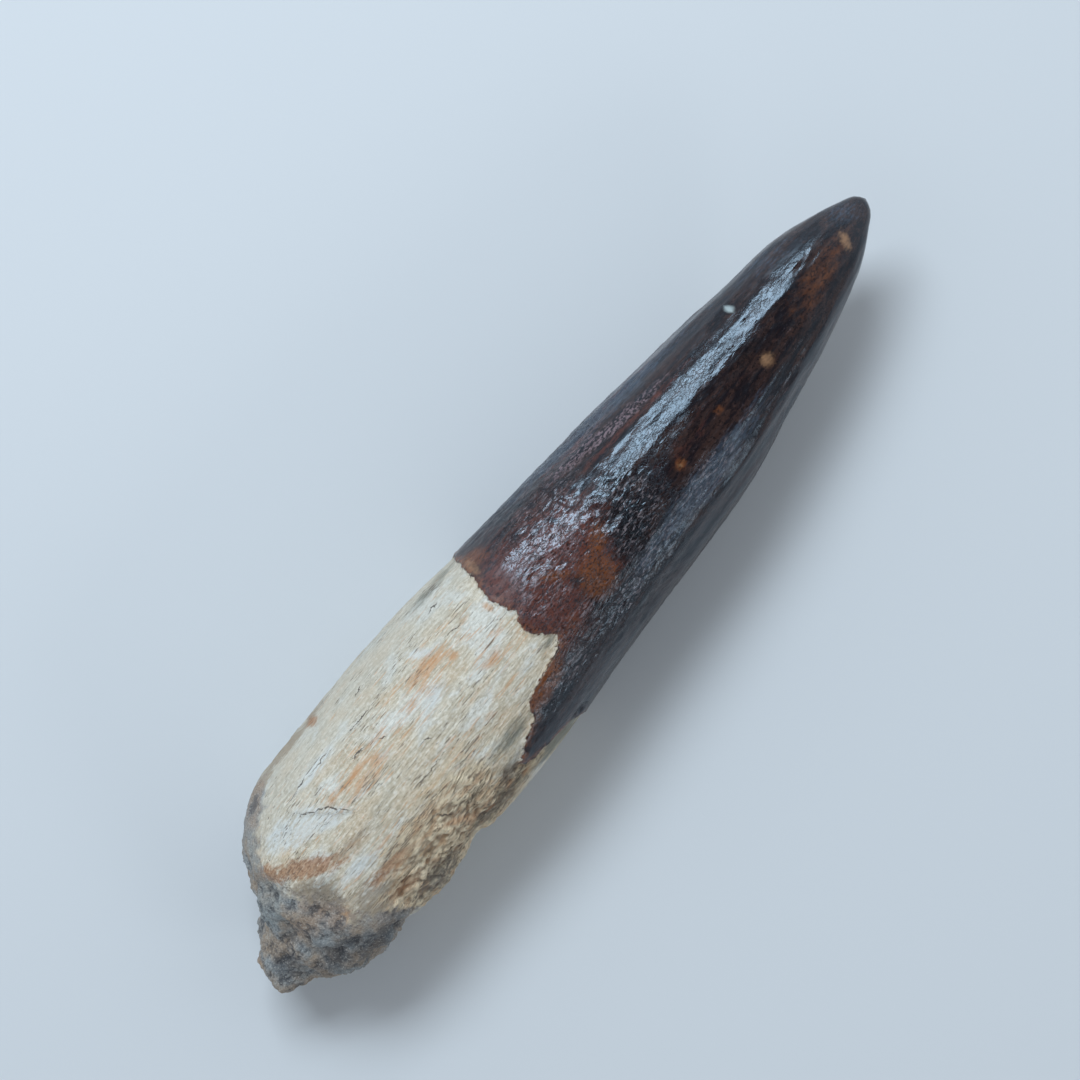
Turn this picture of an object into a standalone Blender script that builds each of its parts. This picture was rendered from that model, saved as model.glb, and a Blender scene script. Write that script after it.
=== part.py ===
"""A fossil spinosaurus tooth, lying on its side.

It is one solid: a fluted enamel crown, the root that it grew from, and the crust of
sandstone that is cemented to the root's broken end.

The script works in metres with +Z up. The tooth lies along X with its point towards +X,
and the origin is on the surface that it rests on, under the middle of its length and width.
Angles run round the tooth's long axis: 0 is its left side (+Y), 90 the top, 180 the right
side (-Y) and 270 the underside.
"""

import bmesh
import bpy
import numpy as np
from mathutils import Vector, noise

MM = 0.001

# Driving dimensions, in millimetres.
LENGTH = 90.0
RINGS = 80
SIDES = 56
ROUNDNESS = 2.12  # 2 would make every cross-section an ellipse

# Cross-sections from the broken end to the point: distance from the broken end, then the
# places of the left side, the right side, the top and the underside.
SECTIONS = (
    (0.0, -2.9, -2.9, 5.4, 5.4),
    (0.5, -1.5, -4.4, 7.0, 3.9),
    (1.8, -0.1, -5.8, 8.8, 2.7),
    (3.7, 1.8, -7.2, 10.9, 1.7),
    (5.5, 4.1, -8.5, 12.9, 1.0),
    (7.4, 6.4, -9.1, 14.9, 0.5),
    (9.2, 7.6, -9.55, 15.9, 0.1),
    (11.5, 8.8, -9.8, 16.4, -0.2),
    (14.5, 9.6, -9.6, 16.7, -0.36),
    (20.0, 9.7, -9.6, 17.0, -0.38),
    (28.0, 9.6, -9.8, 17.1, -0.38),
    (35.0, 9.3, -9.6, 17.0, -0.38),
    (42.0, 8.5, -9.1, 16.6, -0.38),
    (50.0, 7.6, -8.6, 16.0, -0.25),
    (58.0, 7.0, -8.15, 15.4, 0.6),
    (64.0, 6.3, -7.7, 14.9, 1.9),
    (70.0, 5.65, -6.6, 14.3, 3.2),
    (76.0, 4.7, -5.45, 13.6, 4.6),
    (81.0, 4.15, -4.25, 12.8, 5.9),
    (85.0, 3.0, -3.1, 12.0, 7.1),
    (88.0, 1.75, -1.65, 11.1, 8.3),
    (89.5, 1.0, -0.65, 10.4, 8.9),
    (LENGTH, 0.2, 0.2, 9.7, 9.7),
)

# The lower edge of the enamel, as (angle, distance from the broken end). It reaches far down
# the right side as a tongue.
ENAMEL_EDGE = (
    (20, 40.9),
    (40, 40.8),
    (54, 40.5),
    (66, 40.1),
    (77, 40.5),
    (82, 40.9),
    (87, 40.2),
    (92, 40.0),
    (97, 40.4),
    (102, 40.8),
    (106, 41.6),
    (111, 41.1),
    (113.5, 38.9),
    (115.5, 36.9),
    (118, 35.4),
    (123, 34.8),
    (128, 34.4),
    (132, 32.6),
    (136, 31.6),
    (141, 30.6),
    (145, 30.4),
    (149, 31.8),
    (153, 34.0),
    (157, 35.9),
    (162, 36.7),
    (171, 37.4),
    (180, 37.7),
    (205, 37.6),
    (235, 36.4),
    (265, 38.2),
    (300, 40.2),
    (335, 41.2),
)
ENAMEL_THICKNESS = 0.24
ENAMEL_HALF_SLOPE = 0.22  # the enamel reaches its full thickness this far past its edge
EDGE_MIDDLE = 38.5  # where the rings that follow the edge would be if it were straight
EDGE_REACH = 26.0  # how far from the edge the rings still bend with it
EDGE_RINGS = (-0.28, 0.28, 1.2)

# Soft ridges along the crown with flat faces between them, as (angle, height, half angle).
RIDGES = (
    (14, 0.10, 10.0),
    (36, 0.08, 10.0),
    (56, 0.04, 10.0),
    (76, 0.04, 10.0),
    (112, 0.20, 13.0),
    (136, 0.14, 12.0),
    (160, 0.12, 11.0),
    (202, 0.30, 15.0),
    (243, 0.30, 15.0),
    (285, 0.30, 15.0),
    (326, 0.30, 15.0),
)
RIDGE_START = 42.0
RIDGE_END = 88.0
RIDGE_TWIST = 7.0  # how far the ridges turn round the tooth between TWIST_START and TWIST_END
TWIST_START = 58.0
TWIST_END = 72.0

# Carinae: the cutting edges along both sides of the crown.
CARINA_ANGLES = (0, 180)
CARINA_HEIGHT = 0.14
CARINA_HALF_ANGLE = 8.0

# The crust on the broken end: where the root's skin stops, as (angle, distance from the
# broken end), and how far the crust lies below that skin.
CRUST_EDGE = (
    (0, 9.2),
    (28, 7.8),
    (50, 7.3),
    (66, 8.2),
    (80, 9.1),
    (94, 10.5),
    (108, 10.7),
    (124, 9.4),
    (146, 12.0),
    (164, 13.7),
    (195, 12.4),
    (235, 9.4),
    (275, 11.0),
    (320, 8.6),
)
CRUST_DROP = 0.45
CRUST_FADE = 1.1
LUMP_HEIGHT = 0.75
LUMP_SIZE = 3.2

# The eroded strip that runs from the crust along the right side of the root.
STRIP_ANGLE = 152.0
STRIP_HALF_ANGLE = 40.0
STRIP_CORE_ANGLE = 14.0  # the strip has its full depth this far to either side
STRIP_START = 12.0
STRIP_END = 31.0
STRIP_DEPTH = 0.5
STRIP_LUMP_SIZE = (4.2, 1.7, 1.7)

# Single lumps and dents, as (distance from the broken end, angle, height, radius).
LUMPS = (
    (0.2, 100, 0.60, 3.4),
    (4.2, 128, 0.45, 1.9),
    (6.6, 158, 0.40, 1.6),
    (13.2, 174, -0.75, 1.6),
    (13.2, 190, -0.75, 1.7),
    (17.2, 172, 0.45, 2.8),
    (22.6, 170, -0.75, 2.3),
    (22.8, 190, -0.75, 2.8),
    (24.8, 142, -0.45, 1.1),
    (27.2, 146, -0.35, 1.0),
    (20.5, 8, -0.30, 1.6),
    (37.7, 160, -0.40, 0.9),
    (52.6, 86, -0.18, 1.8),
    (33.0, 236, -0.35, 1.8),
    (17.0, 318, -0.40, 2.2),
    (24.0, 216, 0.30, 2.4),
)

# The scar where a flake of the root's skin came off. Its sharp edge runs across the top.
SCAR_EDGE_HIGH = (14.9, 4.6)  # distance from the broken end, distance to the left
SCAR_EDGE_LOW = (18.1, 1.0)
SCAR_START = 8.0
SCAR_DEPTH = 0.20

SWELL_HEIGHT = 0.16  # long uneven swells all over
SWELL_SIZE = 13.0

DERIVATIVE_STEP = 1e-3


def smoothstep(low, high, value):
    """0 below low, 1 above high, and a smooth rise between them."""
    share = np.clip((value - low) / (high - low), 0.0, 1.0)
    return share * share * (3.0 - 2.0 * share)


def monotone_slopes(knots, values):
    """Slopes at the knots for a cubic curve that never overshoots its points."""
    steps = np.diff(knots)
    rises = np.diff(values) / steps
    slopes = np.zeros(len(knots))
    slopes[0] = rises[0]
    slopes[-1] = rises[-1]
    for i in range(1, len(knots) - 1):
        if rises[i - 1] * rises[i] > 0.0:
            before = 2.0 * steps[i] + steps[i - 1]
            after = steps[i] + 2.0 * steps[i - 1]
            slopes[i] = (before + after) / (before / rises[i - 1] + after / rises[i])
    return slopes


def monotone_curve(knots, values, at):
    """The cubic curve through the points (knots, values), read at the places in at."""
    slopes = monotone_slopes(knots, values)
    i = np.clip(np.searchsorted(knots, at, side="right") - 1, 0, len(knots) - 2)
    step = knots[i + 1] - knots[i]
    t = (at - knots[i]) / step
    return (
        values[i] * (1.0 + 2.0 * t) * (1.0 - t) ** 2
        + slopes[i] * step * t * (1.0 - t) ** 2
        + values[i + 1] * t * t * (3.0 - 2.0 * t)
        + slopes[i + 1] * step * t * t * (t - 1.0)
    )


def section_knots():
    """The way along the outline to each section, which spaces the rings evenly over both ends."""
    rows = np.array(SECTIONS)
    half_width = (rows[:, 1] - rows[:, 2]) / 2.0
    return np.concatenate([[0.0], np.cumsum(np.hypot(np.diff(rows[:, 0]), np.diff(half_width)))])


def body_point(way, degrees):
    """Points of the smooth body, in millimetres, at this way along the outline and angle."""
    rows = np.array(SECTIONS)
    knots = section_knots()
    along, left, right, top, under = (monotone_curve(knots, rows[:, k], way) for k in range(5))
    cosine = np.cos(np.radians(degrees))
    sine = np.sin(np.radians(degrees))
    across = np.sign(cosine) * np.abs(cosine) ** (2.0 / ROUNDNESS)
    upward = np.sign(sine) * np.abs(sine) ** (2.0 / ROUNDNESS)
    return np.stack(
        [
            along,
            (left + right) / 2.0 + (left - right) / 2.0 * across,
            (top + under) / 2.0 + (top - under) / 2.0 * upward,
        ],
        axis=-1,
    )


def body_normal(way, degrees):
    """Outward normals of the smooth body, from the directions along it and round it."""
    last = section_knots()[-1]
    safe = np.clip(way, 10.0 * DERIVATIVE_STEP, last - 10.0 * DERIVATIVE_STEP)
    forward = body_point(safe + DERIVATIVE_STEP, degrees) - body_point(safe - DERIVATIVE_STEP, degrees)
    around = body_point(safe, degrees + 0.5) - body_point(safe, degrees - 0.5)
    normal = np.cross(around, forward)
    return normal / np.linalg.norm(normal, axis=-1, keepdims=True)


def angle_between(degrees, other):
    """The unsigned angle from one direction round the tooth to another."""
    return np.abs((degrees - other + 180.0) % 360.0 - 180.0)


def way_at(along):
    """The way along the outline at this distance from the broken end."""
    knots = section_knots()
    ways = np.linspace(0.0, knots[-1], 2000)
    return np.interp(along, monotone_curve(knots, np.array(SECTIONS)[:, 0], ways), ways)


def edge_place(edge, degrees):
    """How far from the broken end this edge runs, at this angle."""
    angles, places = np.array(edge).T
    return np.interp(degrees % 360.0, angles, places, period=360.0)


def enamel_edge(degrees):
    return edge_place(ENAMEL_EDGE, degrees)


def crust_edge(degrees):
    return edge_place(CRUST_EDGE, degrees)


def bump(distance, half_width):
    """A soft bump, 1 in the middle and 0 beyond the half width."""
    return smoothstep(half_width, 0.0, distance)


def smooth_noise(points, size, offset):
    """Noise from -1 to 1 with lumps of this size, read at each point."""
    flat = points.reshape(-1, 3) / size + np.array(offset)
    values = [noise.noise(Vector(p)) for p in flat]
    return np.array(values).reshape(points.shape[:-1])


def crown_relief(along, degrees):
    """Height of the enamel, its ridges and its cutting edges over the smooth body."""
    past_edge = along - enamel_edge(degrees)
    height = ENAMEL_THICKNESS * smoothstep(-ENAMEL_HALF_SLOPE, ENAMEL_HALF_SLOPE, past_edge)
    crown = smoothstep(RIDGE_START, RIDGE_START + 8.0, along)
    crown = crown * smoothstep(RIDGE_END, RIDGE_END - 24.0, along)
    untwisted = degrees - RIDGE_TWIST * smoothstep(TWIST_START, TWIST_END, along)
    for angle, ridge_height, half_angle in RIDGES:
        height = height + ridge_height * crown * bump(angle_between(untwisted, angle), half_angle)
    for carina in CARINA_ANGLES:
        height = height + CARINA_HEIGHT * crown * bump(angle_between(degrees, carina), CARINA_HALF_ANGLE)
    return height


def crust_relief(points, along, degrees):
    """The drop from the root's skin to the crust on the broken end, and the crust's lumps."""
    crust = smoothstep(CRUST_FADE, -CRUST_FADE, along - crust_edge(degrees))
    lumps = smooth_noise(points, LUMP_SIZE, (3.7, 1.3, 8.1))
    lumps = lumps + 0.5 * smooth_noise(points, LUMP_SIZE / 2.1, (6.2, 4.4, 0.9))
    at_tip = smoothstep(0.0, 2.5, along)
    return crust * (LUMP_HEIGHT * lumps - CRUST_DROP * at_tip)


def strip_relief(points, along, degrees):
    """The eroded strip: uneven, and drawn out along the tooth."""
    strip = smoothstep(STRIP_START, STRIP_START + 3.0, along)
    strip = strip * smoothstep(STRIP_END, STRIP_END - 7.0, along)
    from_middle = angle_between(degrees, STRIP_ANGLE)
    strip = strip * smoothstep(STRIP_HALF_ANGLE, STRIP_CORE_ANGLE, from_middle)
    pits = 0.5 + smooth_noise(points, np.array(STRIP_LUMP_SIZE), (1.9, 7.5, 2.6))
    return -STRIP_DEPTH * strip * pits


def lump_relief(points):
    """The single lumps and dents."""
    height = np.zeros(points.shape[:-1])
    for along, degrees, rise, radius in LUMPS:
        middle = body_point(way_at(along), degrees)
        distance = np.linalg.norm(points - middle, axis=-1)
        height = height + rise * bump(distance, radius)
    return height


def scar_relief(points, along):
    """Depth of the flake scar: sharp along its edge, and fading towards the broken end."""
    (high_along, high_left), (low_along, low_left) = SCAR_EDGE_HIGH, SCAR_EDGE_LOW
    share = (points[..., 1] - low_left) / (high_left - low_left)
    edge = low_along + (high_along - low_along) * share
    inside = smoothstep(0.0, 1.0, edge - along) * smoothstep(SCAR_START, SCAR_START + 4.0, along)
    across = smoothstep(-0.4, 0.2, share) * smoothstep(1.3, 1.0, share)
    on_top = smoothstep(8.0, 11.0, points[..., 2])
    return -SCAR_DEPTH * inside * across * on_top


def tooth_surface(way, degrees):
    """Points of the finished surface, in millimetres from the broken end."""
    points = body_point(way, degrees)
    along = points[..., 0]
    height = crown_relief(along, degrees)
    height = height + crust_relief(points, along, degrees)
    height = height + strip_relief(points, along, degrees)
    height = height + lump_relief(points)
    height = height + scar_relief(points, along)
    height = height + SWELL_HEIGHT * smooth_noise(points, SWELL_SIZE, (0.4, 5.2, 3.3))
    points = points + height[..., None] * body_normal(way, degrees)
    points[..., 2] = np.maximum(points[..., 2], 0.0)  # the worn flat that it rests on
    return points


def finish(name, colour, roughness):
    """A plain material of this colour."""
    material = bpy.data.materials.new(name)
    material.use_nodes = True
    shader = material.node_tree.nodes["Principled BSDF"]
    shader.inputs["Base Color"].default_value = (*colour, 1.0)
    shader.inputs["Roughness"].default_value = roughness
    shader.inputs["Metallic"].default_value = 0.0
    return material


def region_of(along, degrees):
    """Which finish a face takes: 0 root, 1 enamel, 2 crust."""
    if along > enamel_edge(degrees):
        return 1
    if along < crust_edge(degrees):
        return 2
    return 0


def ring_ways():
    """Evenly spaced rings, with a close group of them where the enamel's edge is."""
    even = np.linspace(0.0, section_knots()[-1], RINGS + 2)[1:-1]
    close = way_at(EDGE_MIDDLE + np.array(EDGE_RINGS))
    clear = np.abs(even[:, None] - close[None, :]).min(axis=1) > 0.6
    return np.sort(np.concatenate([even[clear], close]))


def bent_ways(ways, degrees):
    """The rings bent so that those near the enamel's edge follow it."""
    pull = bump(np.abs(ways - way_at(EDGE_MIDDLE)) - 1.5, EDGE_REACH)
    return ways + pull * (enamel_edge(degrees) - EDGE_MIDDLE)


def make_tooth():
    """The tooth as rings of points joined by faces, closed by a fan at each end."""
    degrees = np.arange(SIDES) * 360.0 / SIDES
    ring_way, ring_degrees = np.meshgrid(ring_ways(), degrees, indexing="ij")
    grid = tooth_surface(bent_ways(ring_way, ring_degrees), ring_degrees)
    ends = tooth_surface(section_knots()[[0, -1]], np.zeros(2))
    to_part = np.array([LENGTH / 2.0, 0.0, 0.0])

    mesh = bmesh.new()
    rings = [[mesh.verts.new((p - to_part) * MM) for p in ring] for ring in grid]
    broken_end, tip = (mesh.verts.new((p - to_part) * MM) for p in ends)
    for ring, following in zip(rings, rings[1:]):
        for k in range(SIDES):
            after = (k + 1) % SIDES
            mesh.faces.new((ring[k], ring[after], following[after], following[k]))
    for k in range(SIDES):
        after = (k + 1) % SIDES
        mesh.faces.new((broken_end, rings[0][after], rings[0][k]))
        mesh.faces.new((tip, rings[-1][k], rings[-1][after]))
    for face in mesh.faces:
        middle = face.calc_center_median() / MM
        angle = np.degrees(np.arctan2(middle.z - 8.4, middle.y))
        face.material_index = region_of(middle.x + LENGTH / 2.0, angle)
    bmesh.ops.recalc_face_normals(mesh, faces=mesh.faces)

    data = bpy.data.meshes.new("fossil_tooth")
    mesh.to_mesh(data)
    mesh.free()
    data.materials.append(finish("root", (0.62, 0.54, 0.41), 0.75))
    data.materials.append(finish("enamel", (0.055, 0.022, 0.014), 0.28))
    data.materials.append(finish("sandstone_crust", (0.22, 0.18, 0.14), 0.9))
    data.shade_smooth()
    tooth = bpy.data.objects.new("fossil_tooth", data)
    bpy.context.collection.objects.link(tooth)
    return tooth


def main():
    for thing in list(bpy.data.objects):
        bpy.data.objects.remove(thing)
    make_tooth()


main()
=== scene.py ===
"""The looks of a fossil spinosaurus tooth that lies on its side on a plain pale floor.

The tooth is one closed mesh. Its large shapes come from the same cross-sections, edges and
lumps as the solid that it stands for, and the fibres, wrinkles, flakes and sand grains are laid
over them. Lengths in the tables are millimetres, counted along the tooth from its broken end;
angles run round the tooth: 0 is its left side (+Y), 90 the top, 180 the right side (-Y) and 270
the underside.
"""

import math

import bpy
import numpy as np
from mathutils import Euler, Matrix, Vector, noise


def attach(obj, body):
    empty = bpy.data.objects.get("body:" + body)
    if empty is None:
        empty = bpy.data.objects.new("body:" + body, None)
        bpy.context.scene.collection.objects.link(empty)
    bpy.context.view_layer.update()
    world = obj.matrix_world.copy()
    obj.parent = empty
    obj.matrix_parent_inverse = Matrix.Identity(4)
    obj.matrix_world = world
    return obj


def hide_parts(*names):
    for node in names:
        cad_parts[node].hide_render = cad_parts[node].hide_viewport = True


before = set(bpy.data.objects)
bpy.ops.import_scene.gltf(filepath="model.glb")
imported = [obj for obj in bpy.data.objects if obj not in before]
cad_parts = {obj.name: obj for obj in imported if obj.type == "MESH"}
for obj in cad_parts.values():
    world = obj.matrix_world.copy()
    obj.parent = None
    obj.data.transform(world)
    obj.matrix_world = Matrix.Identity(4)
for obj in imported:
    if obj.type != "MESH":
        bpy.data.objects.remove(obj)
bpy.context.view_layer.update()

MM = 0.001
TOOTH_NAME = "fossil_tooth_surface"
LENGTH = 90.0
ROUNDNESS = 2.12  # 2 would make every cross-section an ellipse
SIDES = 266

# How many rings of points there are up to each place along the tooth.
RING_PLAN = ((31.0, 164), (58.0, 136), (LENGTH, 66))

# Cross-sections from the broken end to the point: distance from the broken end, then the
# places of the left side, the right side, the top and the underside.
SECTIONS = (
    (0.0, -2.9, -2.9, 5.4, 5.4),
    (0.5, -1.5, -4.4, 7.0, 3.9),
    (1.8, -0.1, -5.8, 8.8, 2.7),
    (3.7, 1.8, -7.2, 10.9, 1.7),
    (5.5, 4.1, -8.5, 12.9, 1.0),
    (7.4, 6.4, -9.1, 14.9, 0.5),
    (9.2, 7.6, -9.55, 15.9, 0.1),
    (11.5, 8.8, -9.8, 16.4, -0.2),
    (14.5, 9.6, -9.6, 16.7, -0.36),
    (20.0, 9.7, -9.6, 17.0, -0.38),
    (28.0, 9.6, -9.8, 17.1, -0.38),
    (35.0, 9.3, -9.6, 17.0, -0.38),
    (42.0, 8.5, -9.1, 16.6, -0.38),
    (50.0, 7.6, -8.6, 16.0, -0.25),
    (58.0, 7.0, -8.15, 15.4, 0.6),
    (64.0, 6.3, -7.7, 14.9, 1.9),
    (70.0, 5.65, -6.6, 14.3, 3.2),
    (76.0, 4.7, -5.45, 13.6, 4.6),
    (81.0, 4.15, -4.25, 12.8, 5.9),
    (85.0, 3.0, -3.1, 12.0, 7.1),
    (88.0, 1.75, -1.65, 11.1, 8.3),
    (89.5, 1.0, -0.65, 10.4, 8.9),
    (LENGTH, 0.2, 0.2, 9.7, 9.7),
)

# The lower edge of the enamel, as (angle, distance from the broken end).
ENAMEL_EDGE = (
    (20, 40.9),
    (40, 40.8),
    (54, 40.5),
    (66, 40.1),
    (77, 40.5),
    (82, 40.9),
    (87, 40.2),
    (92, 40.0),
    (97, 40.4),
    (102, 40.8),
    (106, 41.6),
    (111, 41.1),
    (113.5, 38.9),
    (115.5, 36.9),
    (118, 35.4),
    (123, 34.8),
    (128, 34.4),
    (132, 32.6),
    (136, 31.6),
    (141, 30.6),
    (145, 30.4),
    (149, 31.8),
    (153, 34.0),
    (157, 35.9),
    (162, 36.7),
    (171, 37.4),
    (180, 37.7),
    (205, 37.6),
    (235, 36.4),
    (265, 38.2),
    (300, 40.2),
    (335, 41.2),
)
ENAMEL_THICKNESS = 0.24
ENAMEL_HALF_SLOPE = 0.22
ENAMEL_EDGE_UNEVEN = 0.20

# The rings of points follow the enamel's edge near this place, and less so further from it.
EDGE_MIDDLE = 38.5
EDGE_REACH = 26.0
EDGE_CORE = 1.5

# Ridges along the crown, as (angle, height, half angle).
RIDGES = (
    (14, 0.10, 10.0),
    (36, 0.08, 10.0),
    (56, 0.04, 10.0),
    (76, 0.04, 10.0),
    (112, 0.20, 13.0),
    (136, 0.14, 12.0),
    (160, 0.12, 11.0),
    (202, 0.30, 15.0),
    (243, 0.30, 15.0),
    (285, 0.30, 15.0),
    (326, 0.30, 15.0),
)
RIDGE_START = 42.0
RIDGE_END = 88.0
RIDGE_RISE = 8.0  # a ridge has its full height this far from its start
RIDGE_FADE = 24.0  # and starts to fade this far before its end
RIDGE_TWIST = 7.0  # how far the ridges turn round the tooth between TWIST_START and TWIST_END
TWIST_START = 58.0
TWIST_END = 72.0

CARINA_ANGLES = (0, 180)
CARINA_HEIGHT = 0.14
CARINA_HALF_ANGLE = 8.0

# Where the root's skin stops and the crust begins, as (angle, distance from the broken end).
CRUST_EDGE = (
    (0, 9.2),
    (28, 7.8),
    (50, 7.3),
    (66, 8.2),
    (80, 9.1),
    (94, 10.5),
    (108, 10.7),
    (124, 9.4),
    (146, 12.0),
    (164, 13.7),
    (195, 12.4),
    (235, 9.4),
    (275, 11.0),
    (320, 8.6),
)
CRUST_DROP = 0.45
CRUST_FADE = 1.1
CRUST_TIP = 2.5  # the drop starts gradually over this distance from the broken end
CRUST_EDGE_UNEVEN = 1.1
LUMP_HEIGHT = 0.75
LUMP_SIZE = 3.2

# How far the crust's colour reaches, which is further than its drop along the left side.
CRUST_COLOUR_EDGE = (
    (0, 13.0),
    (16, 14.6),
    (23, 14.2),
    (35, 12.6),
    (39, 10.8),
    (43, 9.5),
    (48, 8.8),
    (55, 8.3),
    (67, 8.2),
    (77, 8.6),
    (86, 9.0),
    (95, 10.0),
    (107, 10.7),
    (117, 10.3),
    (125, 11.5),
    (134, 12.9),
    (150, 13.9),
    (165, 14.2),
    (180, 13.4),
    (215, 11.2),
    (250, 9.8),
    (290, 11.4),
    (330, 12.0),
)

STRIP_ANGLE = 152.0
STRIP_HALF_ANGLE = 40.0
STRIP_CORE_ANGLE = 14.0  # the strip has its full depth this far to either side
STRIP_START = 12.0
STRIP_END = 31.0
STRIP_START_FADE = 3.0
STRIP_END_FADE = 7.0
STRIP_DEPTH = 0.5
STRIP_LUMP_SIZE = (4.2, 1.7, 1.7)

# Single lumps and dents, as (distance from the broken end, angle, height, radius).
LUMPS = (
    (0.2, 100, 0.60, 3.4),
    (4.2, 128, 0.45, 1.9),
    (6.6, 158, 0.40, 1.6),
    (13.2, 174, -0.75, 1.6),
    (13.2, 190, -0.75, 1.7),
    (17.2, 172, 0.45, 2.8),
    (22.6, 170, -0.75, 2.3),
    (22.8, 190, -0.75, 2.8),
    (24.8, 142, -0.45, 1.1),
    (27.2, 146, -0.35, 1.0),
    (20.5, 8, -0.30, 1.6),
    (37.7, 160, -0.40, 0.9),
    (52.6, 86, -0.18, 1.8),
    (33.0, 236, -0.35, 1.8),
    (17.0, 318, -0.40, 2.2),
    (24.0, 216, 0.30, 2.4),
)

SCAR_EDGE_HIGH = (14.9, 4.6)  # distance from the broken end, distance to the left
SCAR_EDGE_LOW = (18.1, 1.0)
SCAR_START = 8.0
SCAR_START_FADE = 4.0
SCAR_DEPTH = 0.20
SCAR_EDGE_WIDTH = 0.35
SCAR_EDGE_UNEVEN = 0.45
SCAR_HEIGHTS = (8.0, 11.0)  # it is nowhere below the first height, and whole above the second

SWELL_HEIGHT = 0.16
SWELL_SIZE = 13.0

# Heights and depths of the fine relief.
FIBRE_HEIGHT = 0.035
FLAKE_HEIGHT = 0.05
STRAND_HEIGHT = 0.15
STRAND_SLANT = -18.0
STRAND_ROUGHNESS = 0.14
GROOVE_DEPTH = 0.22
SMALL_GROOVE_DEPTH = 0.15
SAND_HEIGHT = 0.22
SAND_PAST_CRUST = 0.35  # its share where only the crust's colour reaches
GRAIN_HEIGHT = 0.15
GRAIN_SIZE = 0.55
FOLD_HEIGHT = 0.10
KNOT_HEIGHT = 0.07
RIB_HEIGHT = 0.045

# How far to either side of a point its normal is measured, along the tooth and in degrees.
STEP_ALONG = 1e-3
STEP_ROUND = 0.5

# A mark is whole inside the second of these shares of its half sizes, and gone past the first.
MARK_EDGES = (1.9, 0.15)
UPPER_HEIGHTS = (7.0, 9.2)  # the upper side's marks appear between these heights
UNDER_HEIGHTS = (9.0, 6.5)  # and the underside's between these
# The painted highlight streaks show only above these heights.
PAINTED_GLINT_HEIGHTS = (10.5, 13.0)

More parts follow.
